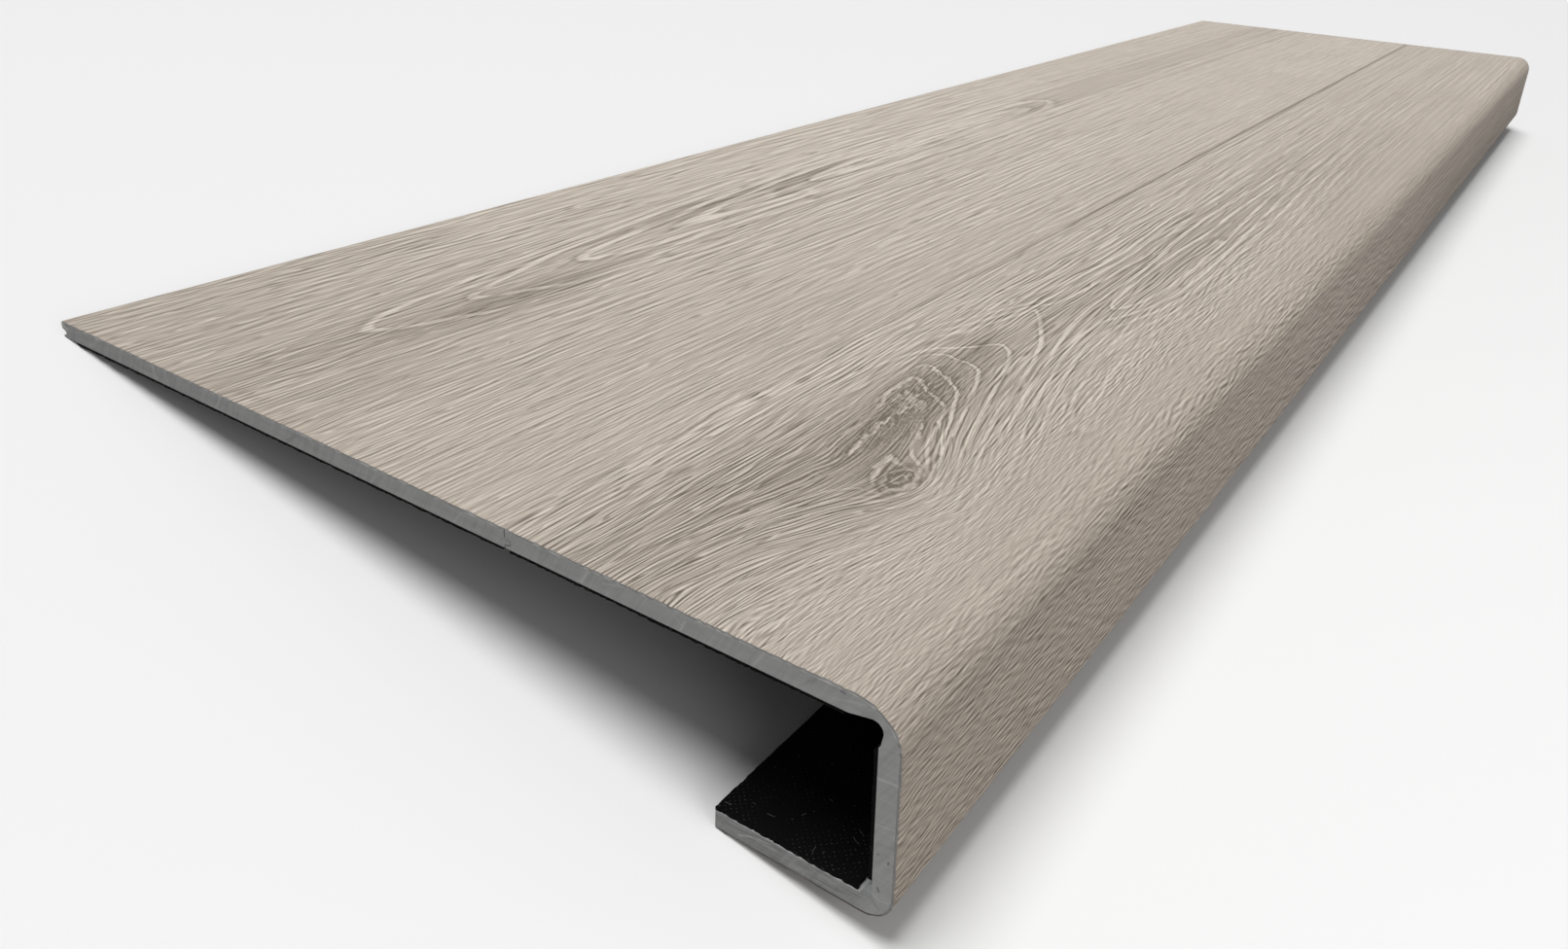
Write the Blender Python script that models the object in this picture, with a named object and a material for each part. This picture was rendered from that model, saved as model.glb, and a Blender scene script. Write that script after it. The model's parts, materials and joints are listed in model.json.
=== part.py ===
"""A stair tread with a folded nosing, made from two vinyl planks.

A rear plank and a nosing plank meet in a tongue and groove. Each plank is a rigid
core with a wood-look film on its face and a soft backing pad under it. The nosing
plank is folded twice, down the front of the step and back under it, so that the
tread hooks over the step's edge. The section is drawn level: Y runs back from the
front of the nose, Z runs up from the underside of the lip. The finished tread then
leans back to where it lies unheld on a floor, on its lip and its rear edge.
"""
import math

import bmesh
import bpy

# Overall sizes, in metres
TREAD_LENGTH = 1.200
TREAD_DEPTH = 0.315
NOSE_HEIGHT = 0.057
NOSE_FLARE = math.radians(3.0)
LIP_LENGTH = 0.048
NOSING_PLANK_DEPTH = 0.110

# Layers of the plank, from its face to its back
FILM_THICKNESS = 0.0005
CORE_THICKNESS = 0.0049
PAD_THICKNESS = 0.0011
BOND_LINE = 0.00005

# Upper fold: a round nose, with a round relief groove cut into the corner behind it
NOSE_RADIUS = 0.012
RELIEF_RADIUS = 0.0026
RELIEF_TOP_CUT = 0.0012
RELIEF_FRONT_CUT = 0.0010
RELIEF_TOP_ANGLE = math.radians(84.0)
RELIEF_TAIL_ANGLE = math.radians(192.0)
RELIEF_TAIL_DROP = 0.0037
RELIEF_LEDGE = 0.0003
RELIEF_RAMP_RUN = 0.0059

# Lower fold: a mitre cut from the back, closed by a bead of glue
FOOT_RADIUS = 0.0075
MITRE_SKIN = 0.0015
MITRE_MOUTH = 0.0006
MITRE_TIP = 0.00030
BEAD_RISE = 0.0040
BEAD_RUN = 0.0028
BEAD_CROWN = 0.0003

# Tongue and groove along the seam, and the open groove in the rear edge
SEAM_GAP = 0.0003
SEAM_BEVEL = 0.0004
GROOVE_BELOW_FACE = 0.0025
GROOVE_MOUTH = 0.0023
GROOVE_FLOOR = 0.0010
GROOVE_DEPTH = 0.0018
JOINT_CLEARANCE = 0.00015

# Edges of the backing pads
PAD_SETBACK = 0.0008
PAD_REAR_SETBACK = 0.0070
PAD_LIP_OVERHANG = 0.0004
REAR_EDGE_EASE = 0.0003

NOSE_ARC_STEPS = 16
FOOT_ARC_STEPS = 12
RELIEF_ARC_STEPS = 10
BEAD_ARC_STEPS = 4

# Depths below the plank's face at which the layers meet
CORE_TOP = FILM_THICKNESS + BOND_LINE
CORE_BACK = CORE_TOP + CORE_THICKNESS
PAD_TOP = CORE_BACK + BOND_LINE
PAD_BACK = PAD_TOP + PAD_THICKNESS

# Directions in the section: up the nose's front, and inward from it
UP_FRONT = (math.sin(NOSE_FLARE), math.cos(NOSE_FLARE))
INWARD = (math.cos(NOSE_FLARE), -math.sin(NOSE_FLARE))
FRONT_ANGLE = math.pi - NOSE_FLARE

# Landmarks in the section
SEAM_Y = NOSING_PLANK_DEPTH
NOSING_EDGE_Y = SEAM_Y - SEAM_GAP / 2
REAR_PLANK_Y = SEAM_Y + SEAM_GAP / 2
FOOT_Y = -NOSE_HEIGHT * math.tan(NOSE_FLARE)
LIP_END_Y = FOOT_Y + LIP_LENGTH
NOSE_CENTRE = (NOSE_RADIUS * (1 - UP_FRONT[0]) / INWARD[0], NOSE_HEIGHT - NOSE_RADIUS)


def front_y(height, depth):
    """Return Y on the nose's front, at a height, as deep as given below its face."""
    return (depth + UP_FRONT[0] * (height - NOSE_HEIGHT)) / INWARD[0]


FOOT_CENTRE = (front_y(FOOT_RADIUS, FOOT_RADIUS), FOOT_RADIUS)
INNER_CORNER = (front_y(CORE_BACK, CORE_BACK), CORE_BACK)
RELIEF_HEIGHT = NOSE_HEIGHT - CORE_BACK + RELIEF_TOP_CUT - RELIEF_RADIUS
RELIEF_CENTRE = (front_y(RELIEF_HEIGHT, CORE_BACK - RELIEF_FRONT_CUT + RELIEF_RADIUS), RELIEF_HEIGHT)


def step(point, *moves):
    """Return a point moved by each (direction, distance) pair."""
    y, z = point
    for (dy, dz), distance in moves:
        y += dy * distance
        z += dz * distance
    return (y, z)


def arc(centre, radius, start, end, steps):
    """Return the points of an arc from one angle to another, both ends included."""
    points = []
    for index in range(steps + 1):
        angle = start + (end - start) * index / steps
        points.append((centre[0] + radius * math.cos(angle), centre[1] + radius * math.sin(angle)))
    return points


def nosing_line(depth):
    """Return the nosing's folded line below its face, from the upper fold to the lip."""
    upper = arc(NOSE_CENTRE, NOSE_RADIUS - depth, math.pi / 2, FRONT_ANGLE, NOSE_ARC_STEPS)
    lower = arc(FOOT_CENTRE, FOOT_RADIUS - depth, FRONT_ANGLE, 1.5 * math.pi, FOOT_ARC_STEPS)
    return upper + lower + [(LIP_END_Y, depth)]


def groove_line(edge_y, inward, clearance=0.0):
    """Return a groove's outline, top to bottom; a clearance gives the tongue for it."""
    top = NOSE_HEIGHT - GROOVE_BELOW_FACE - clearance
    bottom = NOSE_HEIGHT - GROOVE_BELOW_FACE - GROOVE_MOUTH + clearance
    taper = (GROOVE_MOUTH - GROOVE_FLOOR) / 2
    return [
        (edge_y, top),
        (edge_y + inward, top - taper),
        (edge_y + inward, bottom + taper),
        (edge_y, bottom),
    ]


def rear_core_section():
    """Return the rear plank's core: a tongue in front, an open groove behind."""
    top = NOSE_HEIGHT - CORE_TOP
    back = NOSE_HEIGHT - CORE_BACK
    tongue = groove_line(REAR_PLANK_Y, JOINT_CLEARANCE - GROOVE_DEPTH - SEAM_GAP, JOINT_CLEARANCE)
    return (
        [(REAR_PLANK_Y, top), (TREAD_DEPTH, top)]
        + groove_line(TREAD_DEPTH, -GROOVE_DEPTH)
        + [(TREAD_DEPTH, back), (REAR_PLANK_Y, back)]
        + tongue[::-1]
    )


def rear_film_section():
    """Return the rear plank's film, bevelled at the seam and eased at the rear edge."""
    under = NOSE_HEIGHT - FILM_THICKNESS
    return [
        (REAR_PLANK_Y, under),
        (REAR_PLANK_Y, NOSE_HEIGHT - SEAM_BEVEL),
        (REAR_PLANK_Y + SEAM_BEVEL, NOSE_HEIGHT),
        (TREAD_DEPTH - REAR_EDGE_EASE, NOSE_HEIGHT),
        (TREAD_DEPTH, NOSE_HEIGHT - REAR_EDGE_EASE),
        (TREAD_DEPTH, under),
    ]


def level_pad_section(front, back):
    """Return a pad under the level part of the tread, between two depths."""
    top = NOSE_HEIGHT - PAD_TOP
    bottom = NOSE_HEIGHT - PAD_BACK
    return [(front, top), (back, top), (back, bottom), (front, bottom)]


def nosing_film_section():
    """Return the nosing's film: the plank's face, folded over the nose and the lip."""
    edge = [(NOSING_EDGE_Y, NOSE_HEIGHT - SEAM_BEVEL), (NOSING_EDGE_Y - SEAM_BEVEL, NOSE_HEIGHT)]
    back = nosing_line(FILM_THICKNESS)
    return edge + nosing_line(0.0) + back[::-1] + [(NOSING_EDGE_Y, NOSE_HEIGHT - FILM_THICKNESS)]


def mitre_frame():
    """Return the mitre's direction from the inner corner, one across it, and its depth."""
    dy = INNER_CORNER[0] - FOOT_CENTRE[0]
    dz = INNER_CORNER[1] - FOOT_CENTRE[1]
    reach = math.hypot(dy, dz)
    along = (dy / reach, dz / reach)
    across = (-along[1], along[0])
    return along, across, FOOT_RADIUS - reach - MITRE_SKIN


def mitre_line(clearance):
    """Return the mitre cut from the lip's face to the front's, narrower by a clearance."""
    along, across, depth = mitre_frame()
    mouth = MITRE_MOUTH - 2 * clearance
    tip = step(INNER_CORNER, (along, depth - 2 * clearance))
    half = MITRE_TIP / 2 - clearance
    lip_side = step(INNER_CORNER, ((1.0, 0.0), mouth), ((0.0, 1.0), clearance))
    front_side = step(INNER_CORNER, (UP_FRONT, mouth), (INWARD, clearance))
    return [lip_side, step(tip, (across, half)), step(tip, (across, -half)), front_side]


def relief_line():
    """Return the relief groove behind the nose, from its ledge to the end of its ramp."""
    height = relief_ledge()[1]
    ledge = [relief_ledge(), (front_y(height, CORE_BACK - RELIEF_LEDGE), height)]
    bulb = arc(RELIEF_CENTRE, RELIEF_RADIUS, RELIEF_TAIL_ANGLE, RELIEF_TOP_ANGLE, RELIEF_ARC_STEPS)
    return ledge + bulb + [(relief_end_y(), NOSE_HEIGHT - CORE_BACK)]


def relief_ledge():
    """Return the edge of the groove's ledge, on the back of the nose's front."""
    height = RELIEF_HEIGHT - RELIEF_TAIL_DROP
    return (front_y(height, CORE_BACK), height)


def relief_end_y():
    """Return where the groove's ramp runs out into the underside of the plank."""
    return RELIEF_CENTRE[0] + RELIEF_RAMP_RUN


def nosing_core_section():
    """Return the nosing's core, with the relief groove, the mitre and the seam's groove."""
    seam_groove = groove_line(NOSING_EDGE_Y, -GROOVE_DEPTH)
    return (
        [(NOSING_EDGE_Y, NOSE_HEIGHT - CORE_TOP)]
        + nosing_line(CORE_TOP)
        + [(LIP_END_Y, CORE_BACK)]
        + mitre_line(0.0)
        + relief_line()
        + [(NOSING_EDGE_Y, NOSE_HEIGHT - CORE_BACK)]
        + seam_groove[::-1]
    )


def bead_section():
    """Return the glue bead: a slightly crowned fillet with a tongue down the mitre."""
    front = step(INNER_CORNER, (UP_FRONT, BEAD_RISE), (INWARD, BOND_LINE))
    lip = step(INNER_CORNER, ((1.0, 0.0), BEAD_RUN), ((0.0, 1.0), BOND_LINE))
    slope = (lip[0] - front[0], lip[1] - front[1])
    length = math.hypot(*slope)
    outward = (-slope[1] / length, slope[0] / length)
    face = []
    for index in range(BEAD_ARC_STEPS + 1):
        share = index / BEAD_ARC_STEPS
        crown = BEAD_CROWN * math.sin(math.pi * share)
        face.append(step(front, (slope, share), (outward, crown)))
    return face + mitre_line(BOND_LINE)


def front_pad_section():
    """Return the pad on the back of the nose's front, between the groove and the bead."""
    ledge = relief_ledge()
    corner = step(INNER_CORNER, (UP_FRONT, BEAD_RISE + PAD_SETBACK))
    top = ledge[1] - PAD_SETBACK
    bottom = corner[1]
    return [
        (front_y(top, PAD_TOP), top),
        (front_y(top, PAD_BACK), top),
        (front_y(bottom, PAD_BACK), bottom),
        (front_y(bottom, PAD_TOP), bottom),
    ]


def lip_pad_section():
    """Return the pad on the lip, from the bead to just past the lip's edge."""
    front = INNER_CORNER[0] + BEAD_RUN + PAD_SETBACK
    back = LIP_END_Y + PAD_LIP_OVERHANG
    return [(front, PAD_TOP), (back, PAD_TOP), (back, PAD_BACK), (front, PAD_BACK)]


def rest_angle():
    """Return how far the tread leans back, from the lip's edge to its rear edge."""
    core_edge = (TREAD_DEPTH, NOSE_HEIGHT - CORE_BACK)
    pad_edge = (TREAD_DEPTH - PAD_REAR_SETBACK, NOSE_HEIGHT - PAD_BACK)
    return min(math.atan2(z, y - LIP_END_Y) for y, z in (core_edge, pad_edge))


def rest_shift(angle):
    """Return the move that brings the leaning tread's bottom centre to the origin."""
    outline = nosing_film_section() + rear_film_section() + rear_core_section()
    leaning = [y * math.cos(angle) + z * math.sin(angle) for y, z in outline]
    lift = LIP_END_Y * math.sin(angle)
    return (0.0, -(min(leaning) + max(leaning)) / 2, lift)


def principled(name, colour, roughness):
    """Return a plain Principled material."""
    material = bpy.data.materials.new(name)
    material.use_nodes = True
    shader = material.node_tree.nodes["Principled BSDF"]
    shader.inputs["Base Color"].default_value = (*colour, 1.0)
    shader.inputs["Roughness"].default_value = roughness
    shader.inputs["Metallic"].default_value = 0.0
    return material


def extrude_section(name, section, material, parent):
    """Make one piece by running its section along the tread's whole length."""
    shape = bmesh.new()
    start = [shape.verts.new((-TREAD_LENGTH / 2, y, z)) for y, z in section]
    face = shape.faces.new(start)
    swept = bmesh.ops.extrude_face_region(shape, geom=[face])["geom"]
    moved = [item for item in swept if isinstance(item, bmesh.types.BMVert)]
    bmesh.ops.translate(shape, verts=moved, vec=(TREAD_LENGTH, 0.0, 0.0))
    bmesh.ops.recalc_face_normals(shape, faces=shape.faces)
    mesh = bpy.data.meshes.new(name)
    shape.to_mesh(mesh)
    shape.free()
    mesh.shade_smooth()
    mesh.set_sharp_from_angle(angle=math.radians(30.0))
    mesh.materials.append(material)
    piece = bpy.data.objects.new(name, mesh)
    bpy.context.collection.objects.link(piece)
    piece.parent = parent
    return piece


def clear_scene():
    """Remove every object of the scene."""
    for old in list(bpy.data.objects):
        bpy.data.objects.remove(old, do_unlink=True)


def build():
    """Build the tread, leaning back as it lies on a floor."""
    clear_scene()
    angle = rest_angle()
    tread = bpy.data.objects.new("tread_at_rest", None)
    bpy.context.collection.objects.link(tread)
    tread.rotation_euler = (-angle, 0.0, 0.0)
    tread.location = rest_shift(angle)

    film = principled("wood_look_film", (0.42, 0.37, 0.32), 0.55)
    core = principled("stone_plastic_core", (0.19, 0.20, 0.21), 0.60)
    pad = principled("black_backing", (0.012, 0.012, 0.013), 0.90)
    glue = principled("grey_glue", (0.22, 0.23, 0.24), 0.45)

    rear_pad_front = REAR_PLANK_Y + PAD_SETBACK
    rear_pad_back = TREAD_DEPTH - PAD_REAR_SETBACK
    nosing_pad_front = relief_end_y() + PAD_SETBACK
    nosing_pad_back = NOSING_EDGE_Y - PAD_SETBACK

    extrude_section("rear_plank_core", rear_core_section(), core, tread)
    extrude_section("rear_plank_film", rear_film_section(), film, tread)
    extrude_section("rear_plank_pad", level_pad_section(rear_pad_front, rear_pad_back), pad, tread)
    extrude_section("nosing_core", nosing_core_section(), core, tread)
    extrude_section("nosing_film", nosing_film_section(), film, tread)
    extrude_section("nosing_top_pad", level_pad_section(nosing_pad_front, nosing_pad_back), pad, tread)
    extrude_section("nosing_front_pad", front_pad_section(), pad, tread)
    extrude_section("nosing_lip_pad", lip_pad_section(), pad, tread)
    extrude_section("fold_glue_bead", bead_section(), glue, tread)


build()
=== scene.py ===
import json
import math
import bmesh
import bpy
import numpy as np
from mathutils import Euler, Matrix, Vector

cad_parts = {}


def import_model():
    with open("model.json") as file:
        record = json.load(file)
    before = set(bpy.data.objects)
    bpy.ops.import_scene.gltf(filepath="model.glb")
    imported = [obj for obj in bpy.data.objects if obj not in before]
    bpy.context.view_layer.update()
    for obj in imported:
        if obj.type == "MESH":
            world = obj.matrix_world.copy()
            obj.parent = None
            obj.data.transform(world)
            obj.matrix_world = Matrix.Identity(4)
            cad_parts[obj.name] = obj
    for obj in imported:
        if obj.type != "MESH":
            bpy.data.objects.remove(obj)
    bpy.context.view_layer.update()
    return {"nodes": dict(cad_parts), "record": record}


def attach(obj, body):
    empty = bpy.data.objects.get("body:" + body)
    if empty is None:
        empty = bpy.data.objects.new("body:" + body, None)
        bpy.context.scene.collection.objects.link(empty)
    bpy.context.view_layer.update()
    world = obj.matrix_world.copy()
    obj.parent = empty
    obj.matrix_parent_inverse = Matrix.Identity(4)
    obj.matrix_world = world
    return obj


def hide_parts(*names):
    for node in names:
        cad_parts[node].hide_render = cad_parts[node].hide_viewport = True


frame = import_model()

# Section of the tread in millimetres, drawn level
LENGTH = 1200.0
DEPTH = 315.0
HEIGHT = 57.0
FLARE = math.radians(3.0)
NOSE_RADIUS = 12.0
FOOT_RADIUS = 7.5
LIP = 48.0
SEAM = 110.0
SEAM_GAP = 0.3
BEVEL = 0.4
EASE = 0.3
FILM = 0.5
CHIPS = 0.45
CORE_BACK = 5.45
PAD_TOP = 5.5
PAD_BACK = 6.6
PAD_SETBACK = 0.8
PAD_REAR_SETBACK = 7.0
PAD_OVERHANG = 0.4
RELIEF_LEDGE_Z = 46.45
RELIEF_END_Y = 12.6
BEAD_RISE = 4.0
BEAD_RUN = 2.8
UP_FRONT = (math.sin(FLARE), math.cos(FLARE))
INWARD = (math.cos(FLARE), -math.sin(FLARE))
FRONT_ANGLE = math.pi - FLARE
LIP_END = LIP - HEIGHT * math.tan(FLARE)
NEAR_X = -LENGTH / 2
SEAM_S = DEPTH - SEAM
NOSE_CENTRE = (NOSE_RADIUS * (1 - UP_FRONT[0]) / INWARD[0], HEIGHT - NOSE_RADIUS)


def front_y(height, depth):
    """Where the front is at a height, at a depth under its face."""
    return (depth + UP_FRONT[0] * (height - HEIGHT)) / INWARD[0]


FOOT_CENTRE = (front_y(FOOT_RADIUS, FOOT_RADIUS), FOOT_RADIUS)

# The tread leans back until it lies on its lip and its rear edge; the shift then puts the
# middle of its box at x = y = 0 and its lowest points on the floor
underside = [m for m in frame["record"]["mounts"] if m["name"] == "tread_underside"][0]
LEAN_ANGLE = math.asin(-underside["axis"][1])
LEAN_SHIFT = Vector((0.0, -0.15939158929, 0.00844200427))
LEAN = Matrix.Translation(LEAN_SHIFT) @ Matrix.Rotation(-LEAN_ANGLE, 4, "X")


def world(points):
    """Level millimetres to world metres, for an (n, 3) array."""
    turn = np.array(LEAN.to_3x3())
    return points @ turn.T / 1000.0 + np.array(LEAN_SHIFT)


# Node helpers
class Graph:
    """The node tree of a material or a world, built call by call."""

    def __init__(self, block):
        self.block = block
        block.use_nodes = True
        self.tree = block.node_tree
        self.tree.nodes.clear()

    def add(self, kind, **settings):
        node = self.tree.nodes.new(kind)
        for key, value in settings.items():
            setattr(node, key, value)
        return node

    def plug(self, socket, value):
        """Link an input to another node's output, or set its value; a colour is three numbers."""
        if isinstance(value, bpy.types.NodeSocket):
            self.tree.links.new(value, socket)
        else:
            socket.default_value = (*value, 1.0) if socket.type == "RGBA" else value

    def fill(self, node, values, out=0, places=(0, 1, 2, 3, 4)):
        """Plug values into a node's inputs by number, and return one of its outputs."""
        for place, value in zip(places, values):
            self.plug(node.inputs[place], value)
        return node.outputs[out]

    def math(self, op, a, b=0.0, c=0.0, clamp=False):
        return self.fill(self.add("ShaderNodeMath", operation=op, use_clamp=clamp), (a, b, c))

    def plus(self, a, b):
        return self.math("ADD", a, b)

    def minus(self, a, b):
        return self.math("SUBTRACT", a, b)

    def times(self, a, b):
        return self.math("MULTIPLY", a, b)

    def gain(self, value, factor, base):
        """A value times a factor, added to a base."""
        return self.math("MULTIPLY_ADD", value, factor, base)

    def about(self, noise, factor, base):
        """As gain, for a noise whose middle value leaves the base as it is."""
        return self.gain(self.minus(noise, 0.5), factor, base)

    def span(self, value, low, high, to_low=0.0, to_high=1.0, kind="LINEAR"):
        node = self.add("ShaderNodeMapRange", interpolation_type=kind)
        return self.fill(node, (value, low, high, to_low, to_high))

    def fade(self, value, full, none):
        """1 up to the value `full`, then softly down to 0 at `none`."""
        return self.span(value, full, none, 1.0, 0.0, "SMOOTHSTEP")

    def attr(self, name):
        return self.add("ShaderNodeAttribute", attribute_name=name).outputs["Fac"]

    def vector(self, x=0.0, y=0.0, z=0.0):
        return self.fill(self.add("ShaderNodeCombineXYZ"), (x, y, z))

    def noise(self, place, scale=1.0, detail=2.0, rough=0.5):
        node = self.add("ShaderNodeTexNoise")
        self.plug(node.inputs["Vector"], self.vector(*place))
        for key, value in (("Scale", scale), ("Detail", detail), ("Roughness", rough)):
            node.inputs[key].default_value = value
        return node.outputs[0]

    def mix(self, factor, a, b, blend="MIX"):
        """Mix two colours."""
        node = self.add("ShaderNodeMix", data_type="RGBA", blend_type=blend, clamp_factor=True)
        return self.fill(node, (factor, a, b), 2, (0, 6, 7))

    def either(self, factor, a, b):
        """Mix two numbers."""
        return self.fill(self.add("ShaderNodeMix", data_type="FLOAT"), (factor, a, b), 0, (0, 2, 3))

    def vec(self, op, a, b, c=(0.0, 0.0, 0.0), out=0):
        """Vector arithmetic; a number that comes of it is output 1."""
        return self.fill(self.add("ShaderNodeVectorMath", operation=op), (a, b, c), out)

    def stroke(self, place, start, end, width):
        """A soft line drawn from one point to another: 1 along its middle."""
        run = (end[0] - start[0], end[1] - start[1], 0.0)
        size = run[0] ** 2 + run[1] ** 2
        origin = (start[0], start[1], 0.0)
        share = self.vec("DOT_PRODUCT", self.vec("SUBTRACT", place, origin), run, out=1)
        share = self.math("DIVIDE", share, size, clamp=True)
        foot = self.vec("MULTIPLY_ADD", run, self.vector(share, share, share), origin)
        return self.fade(self.vec("DISTANCE", place, foot, out=1), width * 0.2, width)

    def level(self):
        """Level coordinates in millimetres: x along, y back from the nose, z up."""
        node = self.add("ShaderNodeMapping", vector_type="POINT")
        shift = Matrix.Rotation(LEAN_ANGLE, 3, "X") @ LEAN_SHIFT
        node.inputs["Location"].default_value = [-1000.0 * v for v in shift]
        node.inputs["Rotation"].default_value = (LEAN_ANGLE, 0.0, 0.0)
        node.inputs["Scale"].default_value = (1000.0, 1000.0, 1000.0)
        self.plug(node.inputs["Vector"], self.add("ShaderNodeNewGeometry").outputs["Position"])
        parts = self.add("ShaderNodeSeparateXYZ")
        self.plug(parts.inputs[0], node.outputs[0])
        return parts.outputs[0], parts.outputs[1], parts.outputs[2]

    def seen(self):
        """1 for what the camera sees, straight or in a reflection or glass; 0 for stray light."""
        path = self.add("ShaderNodeLightPath").outputs
        straight = self.math("MAXIMUM", path["Is Camera Ray"], path["Is Glossy Ray"])
        return self.math("MAXIMUM", straight, path["Is Transmission Ray"])

    def finish(self, colour, rough, specular, bump=None, depth=0.0, strength=0.0):
        """End a material in one surface, with a bump of `depth` metres where one is given."""
        shader = self.add("ShaderNodeBsdfPrincipled")
        self.plug(shader.inputs["Base Color"], colour)
        self.plug(shader.inputs["Roughness"], rough)
        shader.inputs["Specular IOR Level"].default_value = specular
        if bump is not None:
            node = self.add("ShaderNodeBump")
            node.inputs["Strength"].default_value = strength
            node.inputs["Distance"].default_value = depth
            self.plug(node.inputs["Height"], bump)
            self.plug(shader.inputs["Normal"], node.outputs[0])
        output = self.add("ShaderNodeOutputMaterial")
        self.plug(output.inputs[0], shader.outputs[0])
        return self.block


def add_object(name, data):
    piece = bpy.data.objects.new(name, data)
    bpy.context.collection.objects.link(piece)
    return piece


# Grain fields: x runs along the tread, s from its rear edge over the face to the lip's tip.
# Values spread over ever finer grids in sweeps, and more freely along the board than across.
GRID_X = 1.5
GRID_S = 0.75
GRID_LEVELS = (4, 2, 1)
SWEEPS = (300, 200, 120)
STRETCH = 24.0
SEAM_SHADE = 1.05
SEAM_SHADE_REACH = 0.9
WIDEST_FIBRE = 2.6


def ramp(value, start, end):
    """0 up to the start, 1 from the end on, straight between them."""
    return np.clip((value - start) / (end - start), 0, 1)


def ridge(value, middle, reach):
    """1 at the middle, softly down to 0 on both sides."""
    return np.exp(-(((value - middle) / reach) ** 2))


def blob(x, s, x0, s0, rx, rs, tilt=0.0):
    """A soft spot: 1 at its middle, 0 outside its oval."""
    c, n = math.cos(tilt), math.sin(tilt)
    dx, ds = x - x0, s - s0
    u = (dx * c + ds * n) / rx
    v = (-dx * n + ds * c) / rs
    return np.exp(-(u * u + v * v))


def spots(x, s, marks):
    """A sum of soft spots: each mark is a gain, then its blob's middle, reach and tilt."""
    return sum(gain * blob(x, s, *shape) for gain, *shape in marks)


def tie(curves, nx, ns, s_low, s_high):
    """The grid points that the curves run through, and the curves' values there."""
    dx = LENGTH / (nx - 1)
    ds = (s_high - s_low) / (ns - 1)
    total = np.zeros((nx, ns))
    hits = np.zeros((nx, ns))
    for value, points in curves:
        line = np.array(points, dtype=float)
        gaps = np.hypot(np.diff(line[:, 0]) / dx, np.diff(line[:, 1]) / ds)
        for k, gap in enumerate(gaps):
            t = np.linspace(0.0, 1.0, max(2, int(gap * 2)))[:, None]
            run = line[k] + (line[k + 1] - line[k]) * t
            i = np.round((run[:, 0] - NEAR_X) / dx).astype(int)
            j = np.round((run[:, 1] - s_low) / ds).astype(int)
            keep = (i >= 0) & (i < nx) & (j >= 0) & (j < ns)
            np.add.at(total, (i[keep], j[keep]), value)
            np.add.at(hits, (i[keep], j[keep]), 1.0)
    return hits > 0, total / np.maximum(hits, 1.0)


def spread(curves, s_low, s_high):
    """Spread the curves' values over the board, smooth along it and tied to each curve."""
    columns = int(round(LENGTH / GRID_X)) + 1
    rows = int(round((s_high - s_low) / GRID_S)) + 1
    field = None
    for level, count in zip(GRID_LEVELS, SWEEPS):
        nx = (columns - 1) // level + 1
        ns = (rows - 1) // level + 1
        tied, held = tie(curves, nx, ns, s_low, s_high)
        if field is None:
            known = np.flatnonzero(tied.any(axis=0))
            means = [held[tied[:, j], j].mean() for j in known]
            field = np.tile(np.interp(np.arange(ns), known, means), (nx, 1))
        else:
            old_x, old_s = (np.linspace(0, 1, size) for size in field.shape)
            new_x, new_s = np.linspace(0, 1, nx), np.linspace(0, 1, ns)
            middle = np.array([np.interp(new_x, old_x, column) for column in field.T])
            field = np.array([np.interp(new_s, old_s, row) for row in middle.T])
        wx = STRETCH * ((s_high - s_low) / (ns - 1) / (LENGTH / (nx - 1))) ** 2
        for _ in range(count):
            field[tied] = held[tied]
            wide = np.pad(field, 1, mode="edge")
            wide[:, 0] = 2 * wide[:, 1] - wide[:, 2]
            wide[:, -1] = 2 * wide[:, -2] - wide[:, -3]
            side = wx * (wide[2:, 1:-1] + wide[:-2, 1:-1]) + wide[1:-1, 2:] + wide[1:-1, :-2]
            field = side / (2 * wx + 2)
        field[tied] = held[tied]
    for _ in range(2):
        wide = np.pad(field, 1, mode="edge")
        beside = wide[2:, 1:-1] + wide[:-2, 1:-1] + wide[1:-1, 2:] + wide[1:-1, :-2]
        field = (beside + 2 * field) / 6
    return field


def read(field, s_low, x, s):
    """Read a field at points, between its grid values."""
    i = np.clip((x - NEAR_X) / GRID_X, 0, field.shape[0] - 1.001)
    j = np.clip((s - s_low) / GRID_S, 0, field.shape[1] - 1.001)
    i0 = i.astype(int)
    j0 = j.astype(int)
    fi = i - i0
    fj = j - j0
    low = field[i0, j0] * (1 - fi) + field[i0 + 1, j0] * fi
    high = field[i0, j0 + 1] * (1 - fi) + field[i0 + 1, j0 + 1] * fi
    return low * (1 - fj) + high * fj


def slope_of(field):
    """How fast a field changes, per millimetre."""
    dx, ds = np.gradient(field, GRID_X, GRID_S)
    return np.maximum(np.hypot(dx, ds), 0.01)


def seam_shade(x, s):
    """Darker edge beside the seam, stronger along its far half."""
    off = np.abs(s - SEAM_S) - SEAM_GAP / 2
    return SEAM_SHADE * ramp(x, -420, 30) * np.exp(-off / SEAM_SHADE_REACH)


def fibre_width(x, s):
    """Width of the printed fibres: finest beside the nose and at the cut end."""
    places = [0, 100, 190, 250, 290, 305, 325, 430]
    width = np.interp(s, places, [1.30, 0.95, 0.64, 0.50, 0.44, 0.44, 0.60, 0.66])
    return np.minimum(width * (1 + (x - NEAR_X) / 400), WIDEST_FIBRE)


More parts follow.
